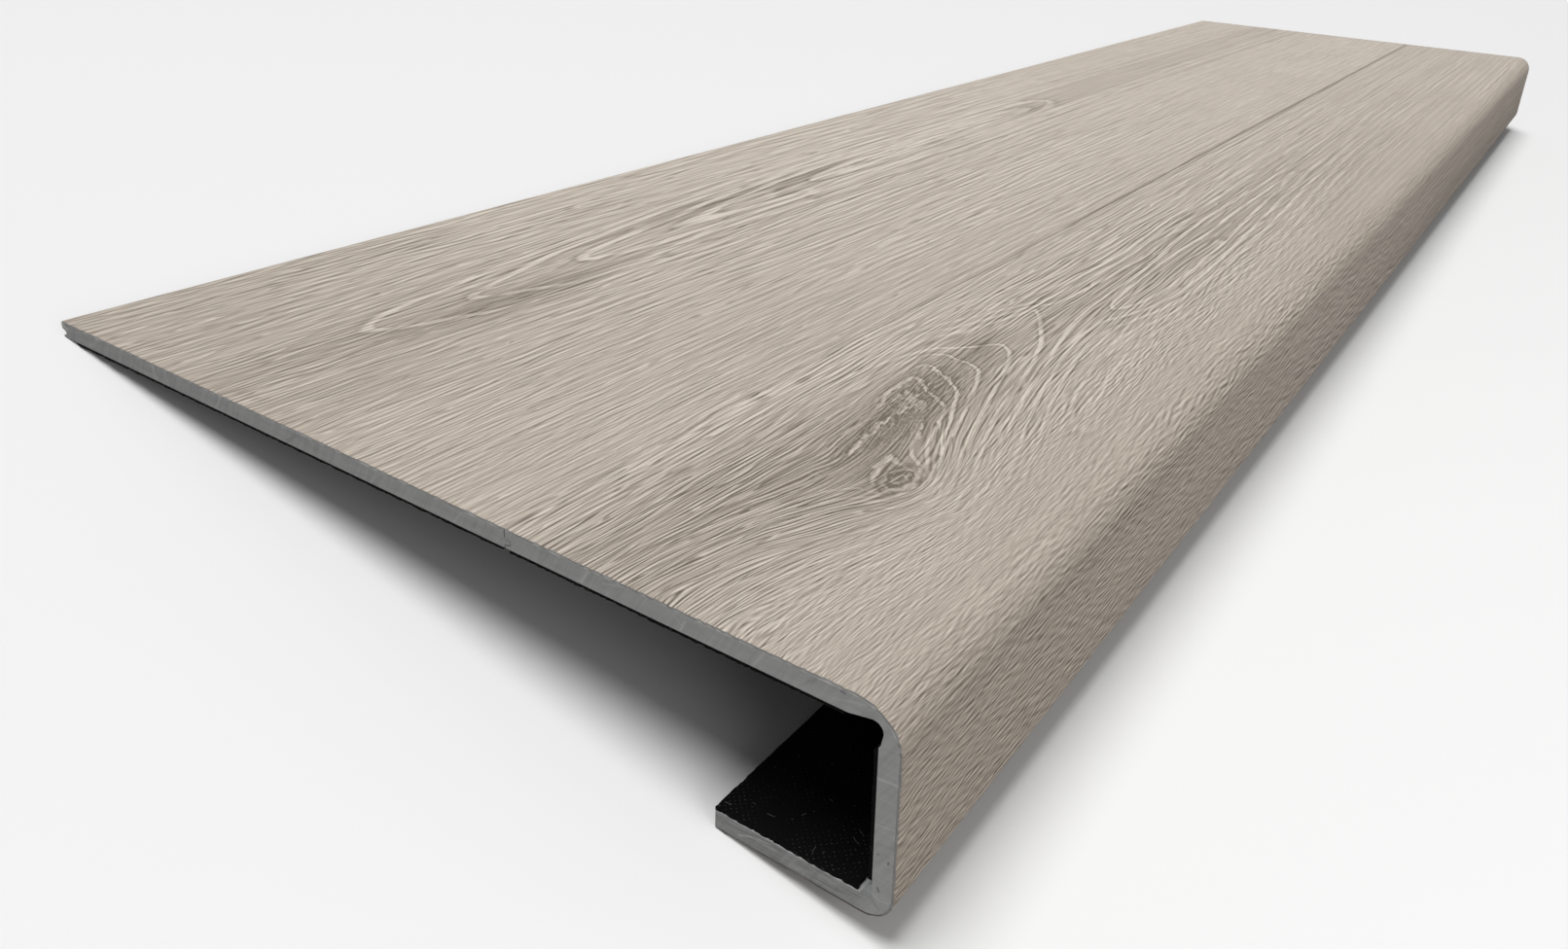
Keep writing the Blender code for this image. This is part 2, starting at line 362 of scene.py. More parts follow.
def plank_fields(rings, fibres, s_low, s_high, looks):
    """A plank's figure: its guide curves spread over it, and the looks that go with them."""
    ring, fibre = spread(rings, s_low, s_high), spread(fibres, s_low, s_high)
    drawn = {"ring": ring, "slope": slope_of(ring), "fibre": fibre, "pitch": slope_of(fibre)}

    def fields(x, s):
        values = {key: read(field, s_low, x, s) for key, field in drawn.items()}
        values["width"] = fibre_width(x, s)
        values["pitch"] = values["width"] * values["pitch"]
        return values | looks(x, s)

    return fields


# Film pieces: steps along the tread, finest at the knot, and along its section
FINE_SPAN = (-545.0, -405.0)
FINE_STEP = 1.1
NEAR_STEP = 1.6
STEP_GROWTH = 3.4
REAR_STEP = 1.7
NOSING_STEPS = (80, 22, 14)
BEND_STEPS = 16
FOLD_STEPS = 12
SEAM_SHUT = 0.12
CHIP_SEED = 5


def between(a, b, count):
    """The points that split a line into `count` equal steps, without its ends."""
    return [(a[0] + (b[0] - a[0]) * k / count, a[1] + (b[1] - a[1]) * k / count)
            for k in range(1, count)]


def arc(centre, radius, start, end, steps):
    angles = [start + (end - start) * k / steps for k in range(steps + 1)]
    return [(centre[0] + radius * math.cos(a), centre[1] + radius * math.sin(a)) for a in angles]


def columns_along():
    """Places along the tread: close together near its cut end and its knot, wider further on."""
    places = [NEAR_X]
    while places[-1] < LENGTH / 2:
        share = (places[-1] - NEAR_X) / LENGTH
        knotty = FINE_SPAN[0] < places[-1] < FINE_SPAN[1]
        places.append(places[-1] + (FINE_STEP if knotty else NEAR_STEP + STEP_GROWTH * share))
    places = np.array(places)
    return NEAR_X + (places - NEAR_X) * LENGTH / (places[-1] - NEAR_X)


def shut_seam(points):
    """Draw the seam's edges and bevels together: nearly shut at the cut end, then opening."""
    off = points[:, 1] - SEAM
    beside = np.abs(off) < SEAM_GAP / 2 + BEVEL + 0.01
    share = np.maximum(ramp(points[:, 0], -560.0, -100.0), SEAM_SHUT)
    points[beside, 1] = SEAM + (off * share)[beside]
    bevelled = beside & (points[:, 2] > HEIGHT - FILM + 0.01)
    points[bevelled, 2] = HEIGHT - ((HEIGHT - points[:, 2]) * share)[bevelled]
    return points


def film_shell(name, outer, inner, s_of_row, fields):
    """A closed film: a fine face along the section line `outer`, a plain back along `inner`."""
    xs = columns_along()
    m, n = len(outer), len(xs)
    face = np.zeros((m, n, 3))
    face[:, :, 0] = xs[None, :]
    face[:, :, 1] = np.array(outer)[:, 0][:, None]
    face[:, :, 2] = np.array(outer)[:, 1][:, None]
    back = np.array([(x, y, z) for x in (xs[0], xs[-1]) for y, z in inner])
    chipped = CHIPS * np.random.default_rng(CHIP_SEED).random(m) ** 2
    face[:, 0, 0] += chipped
    back[:m, 0] += chipped * 0.5
    points = shut_seam(np.vstack([face.reshape(-1, 3), back]))
    faces = []
    for j in range(m - 1):
        row = j * n
        faces += [(row + i, row + i + 1, row + n + i + 1, row + n + i) for i in range(n - 1)]
    grid_faces = len(faces)
    base = m * n
    for j in range(m - 1):
        faces.append((j * n, (j + 1) * n, base + j + 1, base + j))
        faces.append(((j + 1) * n + n - 1, j * n + n - 1, base + m + j, base + m + j + 1))
        faces.append((base + j, base + j + 1, base + m + j + 1, base + m + j))
    faces.append(list(range(n - 1, -1, -1)) + [base, base + m])
    faces.append([(m - 1) * n + i for i in range(n)] + [base + m + m - 1, base + m - 1])
    mesh = bpy.data.meshes.new(name)
    mesh.from_pydata(world(points).tolist(), [], faces)
    mesh.validate()
    piece = add_object(name, mesh)
    s = np.concatenate([np.repeat(s_of_row, n), np.zeros(2 * m)])
    for key, values in fields(points[:, 0], s).items():
        layer = mesh.attributes.new(key, "FLOAT", "POINT")
        layer.data.foreach_set("value", values.astype(np.float32))
    on_face = np.arange(len(mesh.polygons)) < grid_faces
    mesh.polygons.foreach_set("material_index", (~on_face).astype(np.int32))
    mesh.polygons.foreach_set("use_smooth", on_face)
    mesh.update()
    return piece


def rear_rows():
    """Rows of the rear plank's film and of its back, from its rear edge to the seam."""
    edge = SEAM + SEAM_GAP / 2
    start, end = (DEPTH - EASE, HEIGHT), (edge + BEVEL, HEIGHT)
    flat = [start] + between(start, end, math.ceil((start[0] - end[0]) / REAR_STEP)) + [end]
    outer = [(DEPTH, HEIGHT - EASE)] + flat + [(edge, HEIGHT - BEVEL)]
    return outer, [(y, HEIGHT - FILM) for y, z in outer]


def nosing_rows(depth):
    """Rows of the folded film at a depth under its face, from the seam to the lip's tip."""
    edge = SEAM - SEAM_GAP / 2
    flat = [(edge, HEIGHT - (depth or BEVEL)), (edge - BEVEL, HEIGHT - depth)]
    upper = arc(NOSE_CENTRE, NOSE_RADIUS - depth, math.pi / 2, FRONT_ANGLE, BEND_STEPS)
    lower = arc(FOOT_CENTRE, FOOT_RADIUS - depth, FRONT_ANGLE, 1.5 * math.pi, FOLD_STEPS)
    tip = (LIP_END, depth)
    rows = flat + between(flat[-1], upper[0], NOSING_STEPS[0]) + upper
    rows += between(upper[-1], lower[0], NOSING_STEPS[1]) + lower
    return rows + between(lower[-1], tip, NOSING_STEPS[2]) + [tip]


def developed(rows, start):
    """Distance along a section line from its first point, plus a start value."""
    rows = np.array(rows)
    runs = np.hypot(np.diff(rows[:, 0]), np.diff(rows[:, 1]))
    return start + np.concatenate([[0.0], np.cumsum(runs)])


# Rear plank's figure: ring values and fibre values along guide curves of (x, s)
REAR_SPAN = (0.0, 206.0)
REAR_RINGS = [
    (0.0, [(-600, 0), (600, 0)]),
    (5.0, [(-600, 24), (-400, 22), (-200, 18), (0, 14), (600, 18)]),
    (11.0, [(-600, 52), (-500, 51), (-400, 49), (-300, 44), (-150, 38), (100, 34), (600, 36)]),
    (12.0, [(-540, 78), (-537, 74.5), (-530, 71), (-518, 68.5), (-500, 66), (-470, 62), (-440, 59),
        (-400, 56), (-340, 51), (-260, 46), (-120, 42), (100, 39), (600, 42)]),
    (12.0, [(-540, 78), (-537, 82), (-527, 87), (-515, 90), (-508, 93), (-500, 96.5), (-480, 98.5),
        (-460, 101), (-400, 104), (-300, 106), (-150, 104), (100, 100), (600, 104)]),
    (13.0, [(-500, 80), (-494, 77), (-480, 74), (-460, 69), (-440, 65), (-420, 62), (-380, 59),
        (-330, 55), (-260, 52), (-160, 49), (0, 47), (300, 45), (600, 48)]),
    (13.0, [(-500, 80), (-492, 84), (-478, 89), (-465, 95), (-450, 97), (-430, 98), (-400, 94),
        (-380, 92), (-350, 93), (-320, 96), (-250, 98), (-150, 97), (0, 94), (300, 92), (600, 96)]),
    (14.0, [(-443, 78), (-436, 75), (-418, 72), (-400, 70), (-370, 67), (-340, 63), (-300, 59),
        (-270, 57), (-200, 56), (-60, 54), (200, 52), (600, 54)]),
    (14.0, [(-443, 78), (-436, 81.5), (-420, 85), (-400, 87), (-370, 87.5), (-330, 89), (-260, 90),
        (-150, 91), (0, 88), (300, 86), (600, 88)]),
    (15.0, [(-385, 78), (-370, 75), (-355, 73), (-330, 69), (-300, 65), (-280, 63), (-230, 61.5),
        (-120, 61), (0, 60)]),
    (15.0, [(-385, 78), (-370, 80), (-340, 82), (-300, 85), (-250, 86), (-150, 86), (0, 83)]),
    (16.0, [(-275, 75), (-255, 71), (-230, 68), (-200, 66), (-120, 65), (-60, 66), (-25, 69),
        (-12, 73), (-30, 77), (-100, 80), (-180, 80), (-240, 79), (-262, 77.5), (-275, 75)]),
    (6.0, [(-600, 131), (-450, 132), (-300, 136), (-100, 133), (200, 130), (600, 134)]),
    (-6.0, [(-600, 172), (0, 174), (600, 170)]),
    (-14.0, [(-600, 206), (600, 206)]),
]
REAR_FIBRES = [
    (0.0, [(-600, 0), (600, 0)]),
    (40.0, [(-600, 42), (-450, 40), (-300, 37), (0, 36), (600, 40)]),
    (66.0, [(-600, 70), (-540, 69), (-450, 65), (-350, 60), (-200, 56), (0, 60), (600, 64)]),
    (92.0, [(-600, 88), (-540, 90), (-500, 94), (-400, 96), (-300, 94), (0, 90), (600, 94)]),
    (134.0, [(-600, 132), (-450, 133), (-300, 137), (-100, 133), (200, 130), (600, 134)]),
    (206.0, [(-600, 206), (600, 206)]),
]
REAR_SHOW = [(0.75, -440, 78, 160, 26), (0.6, -240, 70, 140, 22), (0.4, -20, 70, 160, 30)]
REAR_TONE = [
    (-0.75, -480, 92, 50, 9), (-0.7, -330, 66, 80, 6), (-0.55, -250, 70, 50, 8),
    (-0.4, -475, 15, 30, 7), (-0.35, -389, 32, 30, 8), (-0.4, -120, 78, 110, 8),
    (-0.4, -20, 77, 30, 8), (0.25, -560, 64, 60, 8),
]


def rear_looks(x, s):
    """How clearly rings show, then the fibres' tone, shortness, relief and burr, and the bend."""
    tone = spots(x, s, REAR_TONE) - 0.28 * ramp(x, -420, -570) * ramp(s, 150, 90)
    return {
        "show": np.clip(0.35 + spots(x, s, REAR_SHOW), 0, 1.2),
        "tone": tone - seam_shade(x, s),
        "short": 0.05 + 0.20 * ramp(s, 140, 180),
        "relief": 0.54 - 0.40 * ramp(x, -300, 150),
        "burr": 0.25 * blob(x, s, -500, 88, 40, 10),
        "bend": 0.0 * s,
    }


# Nosing plank's figure
NOSING_SPAN = (204.0, 426.0)
NOSING_RINGS = [
    (-1.0, [(-600, 204), (-200, 204), (100, 204), (600, 204)]),
    (2.0, [(-600, 206), (-440, 206.6), (-400, 211.5), (-370, 220), (-345, 226.5), (-320, 230),
        (-290, 229.5), (-250, 228.5), (-200, 227), (-100, 225), (0, 223), (200, 221), (600, 224)]),
    (3.0, [(-600, 207), (-470, 208.3), (-430, 211), (-400, 217), (-375, 226), (-350, 233.5),
        (-330, 236.5), (-300, 238.5), (-280, 239.2), (-250, 238.5), (-220, 237), (-170, 236.5),
        (-80, 234), (0, 231), (200, 229), (600, 231)]),
    (4.0, [(-600, 208.2), (-500, 208.3), (-470, 210), (-435, 213), (-410, 219.5), (-390, 227),
        (-370, 234), (-357, 238.5), (-340, 240), (-320, 241.2), (-300, 242), (-280, 242.4),
        (-260, 241.6), (-240, 240.5), (-200, 239.5), (-120, 238.5), (-60, 236), (0, 235),
        (200, 233), (600, 236)]),
    (5.0, [(-600, 209.5), (-555, 213), (-510, 211.3), (-495, 210), (-470, 211.8), (-440, 215.5),
        (-420, 220), (-405, 226.5), (-385, 232.5), (-370, 236.5), (-362, 242), (-350, 244),
        (-330, 245.5), (-310, 247), (-290, 248), (-270, 248), (-250, 246.5), (-230, 245),
        (-200, 243.5), (-150, 242), (-60, 241), (100, 239), (600, 241)]),
    (5.85, [(-365, 246.5), (-340, 249.5), (-300, 251), (-260, 249), (-200, 246.5), (-100, 246.5),
        (0, 245)]),
    (6.0, [(-600, 212.5), (-555, 219), (-540, 219.9), (-529, 217.9), (-515, 217.2), (-509, 214.7),
        (-495, 212.5), (-470, 214.5), (-440, 219.5), (-420, 224.5), (-405, 230.5), (-390, 234.5),
        (-376, 237.5), (-369, 240), (-376, 243.5), (-388, 249), (-400, 255), (-418, 260.2),
        (-437.5, 263.8), (-450, 265.6), (-463, 268.3), (-478, 272.5), (-492, 277), (-505, 281.5),
        (-521, 284.5), (-540, 281), (-570, 268), (-600, 256.5)]),
    (7.0, [(-600, 216), (-560, 221.5), (-545, 223.6), (-536, 224.4), (-523, 223.4), (-515, 222.8),
        (-505, 219.9), (-493, 217.5), (-470, 219.5), (-450, 223), (-437, 226.6), (-430.6, 229.0),
        (-426.6, 233.3), (-420.5, 238.7), (-414, 242.3), (-411, 245.5), (-415, 250),
        (-423.4, 253.8), (-435.5, 256.7), (-448.4, 260.2), (-461.7, 264.1), (-474, 266.8),
        (-482.6, 269.6), (-491, 271.5), (-500, 275), (-510, 278.5), (-522, 280), (-538, 276.5),
        (-565, 263), (-600, 251)]),
    (8.0, [(-600, 222), (-560, 229), (-545, 230.2), (-532, 230.7), (-525.4, 229.8), (-517, 228.6),
        (-508, 228.2), (-490, 226), (-472, 224.5), (-455, 225.5), (-441, 228), (-434.5, 231),
        (-431.5, 234.6), (-433.2, 238.8), (-433.4, 242.9), (-434.5, 245.5), (-436.5, 249.5),
        (-440.3, 251), (-449.8, 254.4), (-458.7, 256.9), (-471.6, 261.1), (-477.7, 262.4),
        (-486.5, 264.9), (-497.5, 267.6), (-505, 271), (-513.4, 274.3), (-522, 275.6),
        (-528.5, 274.6), (-532.3, 272), (-534.5, 268.5), (-545, 263.5), (-565, 256.5),
        (-600, 246)]),
    (9.0, [(-600, 228), (-560, 236), (-539, 237.4), (-528, 237.6), (-521, 237.1), (-514.6, 235.4),
        (-504.5, 234), (-492.5, 233.8), (-485.8, 232.4), (-472, 229.2), (-458, 229.8),
        (-448, 231.8), (-443.2, 234.5), (-446.2, 239.3), (-448.3, 241.8), (-449.2, 244.7),
        (-452.8, 247.1), (-454.5, 250.9), (-459, 252.9), (-466, 255.5), (-472.4, 258.5),
        (-480, 261.4), (-492, 264.6), (-500, 267.5), (-508, 271), (-516, 272.8), (-523, 272.6),
        (-528.5, 270.8), (-531, 267.6), (-542, 260.5), (-565, 252), (-600, 243)]),
    (10.0, [(-600, 233), (-560, 240.5), (-540, 242.3), (-515, 242.5), (-500.6, 240.2),
        (-490, 241.1), (-480, 239.1), (-470, 234.8), (-460, 234.4), (-453, 236.6), (-457.9, 239.4),
        (-459.7, 242), (-463, 244.6), (-463.6, 246.7), (-465.6, 248.9), (-468, 252.5),
        (-470, 255.3), (-476, 256.3), (-481, 258.5), (-487.6, 260.5), (-495, 262.3), (-500, 265),
        (-506, 268.8), (-512, 271), (-518, 271.7), (-524, 271), (-528.5, 267.2), (-538, 258.5),
        (-562, 250), (-600, 240.5)]),
    (11.0, [(-600, 236.8), (-560, 243.2), (-538.6, 245.2), (-530.7, 246.4), (-521, 247.8),
        (-512, 247.8), (-499, 245.6), (-492.6, 244.8), (-485, 244.2), (-480.5, 243), (-477, 240.5),
        (-470.4, 238.6), (-466, 239.4), (-467.5, 244), (-470, 249), (-478, 252.5), (-486, 255.3),
        (-494, 258.5), (-501, 260), (-505, 263.5), (-508, 267.6), (-514, 270.2), (-519, 270.8),
        (-525, 269.4), (-527.8, 265.2), (-527.5, 261), (-536, 255), (-560, 248.3), (-600, 238.6)]),
    (12.0, [(-526, 264), (-525.6, 266.6), (-522.5, 268.9), (-519, 269.7), (-514.6, 269.0),
        (-510.8, 265.8), (-508, 261), (-506, 257.5), (-512, 256.6), (-519, 257.8), (-524, 260.4),
        (-526, 264)]),
    (13.0, [(-521.2, 265.3), (-518.6, 263.8), (-515.5, 263.9), (-513.8, 265.8), (-514.6, 267.6),
        (-517.3, 268.5), (-519.8, 268.0), (-521.2, 266.8), (-521.2, 265.3)]),
    (14.0, [(-518.8, 266.1), (-517.3, 265.3), (-515.9, 266.0), (-516.6, 267.0), (-518.2, 267.2),
        (-518.8, 266.1)]),
    (5.0, [(-600, 261.5), (-570, 273), (-545, 284), (-521, 288), (-503, 285.5), (-485, 280),
        (-463, 273.5), (-440, 268.5), (-418, 264.5), (-400, 260.5), (-385, 257.5), (-370, 255.5),
        (-350, 254), (-325, 254.8), (-300, 254.5), (-270, 253), (-250, 250.5), (-200, 249.5),
        (-150, 250), (-100, 252), (-70, 252.5), (0, 250), (200, 247), (600, 250)]),
    (4.5, [(-325, 256.3), (-290, 255.5), (-250, 253.8), (-200, 253.5), (-150, 253.6), (-100, 254.6),
        (-75, 254.6)]),
    (5.0, [(-352, 261.5), (-347, 259.5), (-330, 258), (-310, 256.8), (-280, 256.4), (-250, 257),
        (-230, 258), (-190, 257.5), (-120, 257), (-75, 256.5), (-60, 257.5), (-90, 260),
        (-120, 262), (-160, 263.5), (-200, 266), (-240, 268.5), (-280, 270), (-310, 270),
        (-330, 268.5), (-345, 265.5), (-352, 261.5)]),
    (5.7, [(-322, 263), (-310, 261.2), (-290, 260.8), (-240, 261.5), (-200, 260.5), (-140, 259.8),
        (-110, 259.5), (-140, 261), (-200, 263.3), (-240, 265.5), (-280, 267), (-308, 266),
        (-322, 263)]),
    (4.0, [(-600, 266), (-570, 277.5), (-545, 288), (-521, 291.5), (-500, 289.5), (-480, 283.5),
        (-460, 277.5), (-440, 272.5), (-418, 268), (-400, 264.5), (-385, 262.8), (-366, 263.5),
        (-354, 268), (-340, 272), (-320, 275), (-280, 275), (-250, 274), (-200, 272), (-120, 267.5),
        (-60, 264), (0, 262), (200, 260), (600, 264)]),
    (3.0, [(-600, 270.5), (-570, 281.5), (-545, 291.5), (-521, 294.5), (-497, 292.5), (-475, 286.5),
        (-455, 280.5), (-435, 275.5), (-415, 271.5), (-400, 268.8), (-380, 267.5), (-370, 268.7),
        (-362, 271), (-350, 273.5), (-340, 275.7), (-325, 278), (-300, 279), (-280, 279),
        (-250, 278.5), (-200, 277), (-170, 275.5), (-140, 274), (-90, 271), (0, 267), (200, 264),
        (600, 268)]),
    (2.0, [(-600, 275.5), (-560, 287.5), (-520, 298), (-485, 294.5), (-455, 286.5), (-425, 279.5),
        (-400, 275.5), (-375, 274), (-350, 279), (-325, 282.5), (-290, 283.5), (-240, 283.5),
        (-200, 283), (-160, 281), (-100, 277.5), (0, 272), (200, 269), (600, 273)]),
    (1.0, [(-600, 280.5), (-560, 291.5), (-520, 301), (-480, 298), (-445, 290.5), (-415, 284.5),
        (-380, 281), (-340, 285), (-290, 287.5), (-200, 287), (-100, 282), (0, 277), (600, 278)]),
    (0.0, [(-600, 285.5), (-550, 297), (-520, 303.5), (-470, 300.5), (-430, 294), (-400, 290),
        (-340, 289.5), (-280, 291), (-200, 291), (0, 284), (600, 284)]),
    (-3.0, [(-600, 302), (-519, 309), (-440, 305), (-400, 302), (0, 299), (600, 300)]),
    (-10.0, [(-600, 322), (600, 322)]),
    (-22.0, [(-600, 366), (600, 366)]),
    (-38.0, [(-600, 425), (600, 425)]),
]
NOSING_FIBRES = [
    (204.0, [(-600, 204), (600, 204)]),
    (222.0, [(-600, 222), (-520, 224), (-440, 221), (-300, 221), (0, 220), (600, 222)]),
    (236.0, [(-600, 237), (-560, 243), (-535, 249), (-512, 250), (-480, 243), (-440, 238),
        (-400, 238), (-300, 240), (0, 236), (600, 237)]),
    (243.0, [(-600, 244), (-560, 249), (-535, 258), (-519, 261.5), (-505, 259), (-480, 253),
        (-440, 246), (-400, 245.5), (-300, 245), (0, 243), (600, 244)]),
    (246.5, [(-600, 247.5), (-560, 253), (-540, 262), (-530, 268), (-519, 273), (-505, 271),
        (-490, 264.5), (-475, 258.5), (-440, 251.5), (-400, 249.5), (-300, 248), (0, 246.5),
        (600, 247.5)]),
    (250.0, [(-600, 251), (-570, 258), (-545, 270), (-519, 278), (-500, 274), (-475, 266),
        (-440, 258), (-400, 254), (-350, 252), (-250, 250), (0, 249), (600, 250)]),
    (268.0, [(-600, 269), (-560, 277), (-519, 287), (-480, 283), (-420, 273), (-350, 270),
        (-200, 268), (0, 266), (600, 268)]),
    (300.0, [(-600, 301), (-519, 304), (-400, 301), (0, 300), (600, 300)]),
    (425.0, [(-600, 425), (600, 425)]),
]
NOSING_SHOW = [
    (0.80, -450, 250, 50, 24), (0.5, -505, 250, 50, 26), (0.4, -390, 245, 70, 18),
    (1.0, -230, 260, 190, 24), (-1.0, -460, 230, 20, 3.2), (-0.5, -495, 232, 24, 6),
    (-0.9, -518, 266, 10, 5), (-0.5, -522, 245, 26, 5),
]
NOSING_TONE = [
    (-0.48, -458, 243, 36, 12, -0.1), (-0.25, -500, 250, 44, 12), (-0.40, -555, 240, 80, 22),
    (-0.40, -480, 250, 50, 18), (-0.15, -555, 228, 60, 14), (-0.25, -570, 246, 50, 12),
    (-0.45, -422, 244, 9, 5), (-0.35, -396, 238, 44, 9), (-0.30, -200, 262, 110, 5),
    (-0.24, -60, 278, 260, 40), (0.35, -428, 231.5, 9, 3.2, 0.75), (0.35, -411, 246, 3, 5),
    (-0.25, -540, 264, 24, 7), (-0.3, -519, 267, 16, 8), (-0.40, -290, 250, 90, 4),
    (-0.25, -280, 262, 60, 5), (-0.25, -180, 243, 90, 6),
]
NOSING_RELIEF = [
    (-0.40, -472, 248, 42, 14), (-0.45, -517, 266, 15, 8), (-0.22, -230, 262, 130, 20),
    (-0.30, -300, 216, 130, 14),
]
NOSING_BURR = [(1.0, -460, 242, 26, 8, -0.1), (0.7, -500, 250, 30, 9)]


def nosing_looks(x, s):
    """As rear_looks, with painted shade: a darker band along the bend, and the front darker
    downwards and towards the far end.
    """
    far = ramp(x, -350, 100)
    # painted shade: a darker band along the bend, weaker towards the far end
    tone = spots(x, s, NOSING_TONE) - (0.30 - 0.20 * far) * ridge(s, 313, 15)
    # painted shade: the front darker towards its lower edge, much more so towards the far end
    tone = tone - 0.85 * far * ramp(s, 322, 354) - 0.28 * ramp(s, 338, 360)
    short = 0.1 + 0.7 * ramp(s, 262, 287) * ramp(x, 160, -140) + 0.9 * blob(x, s, -462, 244, 36, 13)
    relief = 0.90 - 0.50 * ramp(x, -290, -30) - 0.24 * ramp(x, -30, 350)
    relief = relief + 0.30 * ramp(s, 316, 328) * ramp(x, 100, -200) - 0.42 * ridge(s, 302, 14)
    return {
        "show": np.clip(0.20 + spots(x, s, NOSING_SHOW), 0, 1.2),
        "tone": tone - seam_shade(x, s),
        "short": np.clip(short, 0, 1),
        "relief": relief + spots(x, s, NOSING_RELIEF),
        "burr": np.clip(spots(x, s, NOSING_BURR), 0, 1),
        "bend": ramp(s, 300, 330),
    }


# Materials: colours run from dark to pale
FILM_COLOURS = ((0.155, 0.129, 0.105), (0.414, 0.360, 0.306), (0.690, 0.620, 0.542))
BEND_TINT = (1.01, 0.99, 0.965)
CORE_COLOURS = ((0.205, 0.205, 0.203), (0.465, 0.462, 0.454))
GLUE_COLOURS = ((0.21, 0.213, 0.216), (0.38, 0.385, 0.39))
EDGE_COLOURS = ((0.20, 0.197, 0.192), (0.37, 0.362, 0.350))
# the film's brown edge under the lip, with painted shade making it near black
EDGE_BROWN_IN_SHADE = (0.055, 0.044, 0.035)
PAD_COLOURS = ((0.0022, 0.0022, 0.0024), (0.13, 0.13, 0.13))
FLUFF_COLOURS = ((0.05, 0.05, 0.05), (0.36, 0.36, 0.35))
FIBRES_ACROSS = (3.40, 1.80, 0.95, 0.50, 0.27)  # per millimetre, from fine to coarse
FINEST_PER_MM = 2.5
EYE_DISTANCE = 1100.0  # from the board's middle: fibres are longer the further they are off
RUN_SCALE = 600000.0
SWAY_LIMIT = 0.35
KNOT_X = -517.3
KNOT_S = 266.2
KNOT_SQUASH = 0.53


